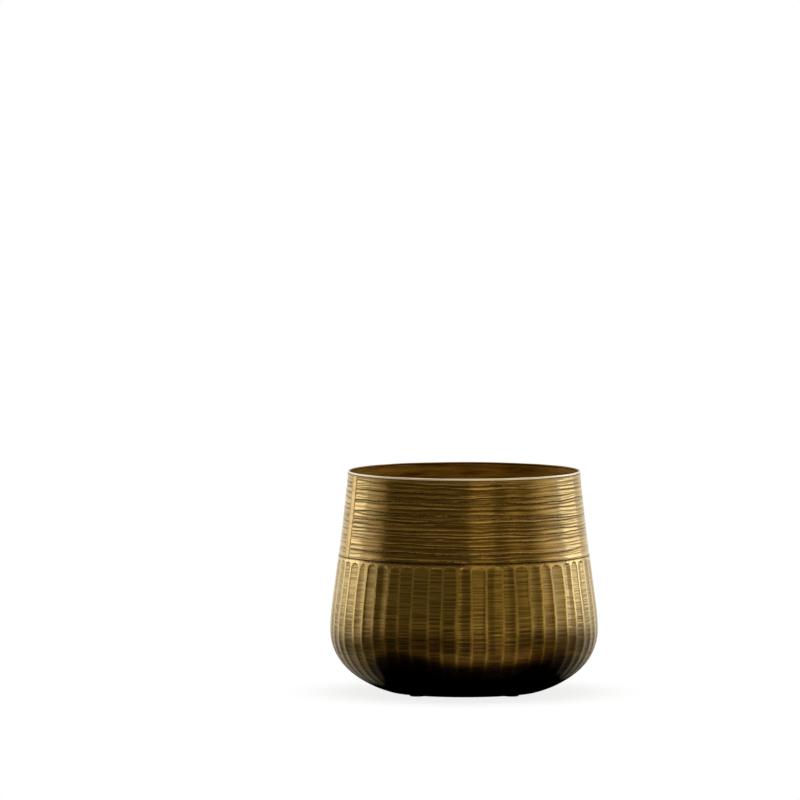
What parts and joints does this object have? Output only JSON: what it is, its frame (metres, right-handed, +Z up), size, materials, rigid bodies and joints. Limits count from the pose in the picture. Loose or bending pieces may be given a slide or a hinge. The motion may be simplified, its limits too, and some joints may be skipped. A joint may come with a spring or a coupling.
{
  "type": "plant pot",
  "caption": "Round brass plant pot with a level-grooved collar, a fluted bowl that turns under to a flat base, a wired rim and small foot pads.",
  "frame": {"origin": "on the table, under the middle of the pot", "axes": "+Z up along the pot's axis; the front, with the strip over the collar's joint well round to its left, faces -Y"},
  "size_m": [0.2, 0.1996, 0.166],
  "materials": {
    "antique_brass": "antique brass, tooled, brown in the cuts and darker towards the base",
    "worn_brass": "rubbed bright along the rim",
    "dark_brass": "dull brown, unpolished",
    "pad_rubber": "matt"
  },
  "bodies": {
    "root": {"bowl": "antique_brass", "collar": "antique_brass", "seam_strip": "antique_brass", "rim_wire": "worn_brass", "base_disc": "dark_brass", "foot_pad_1": "pad_rubber", "foot_pad_2": "pad_rubber", "foot_pad_3": "pad_rubber", "foot_pad_4": "pad_rubber"}
  },
  "joints": []
}
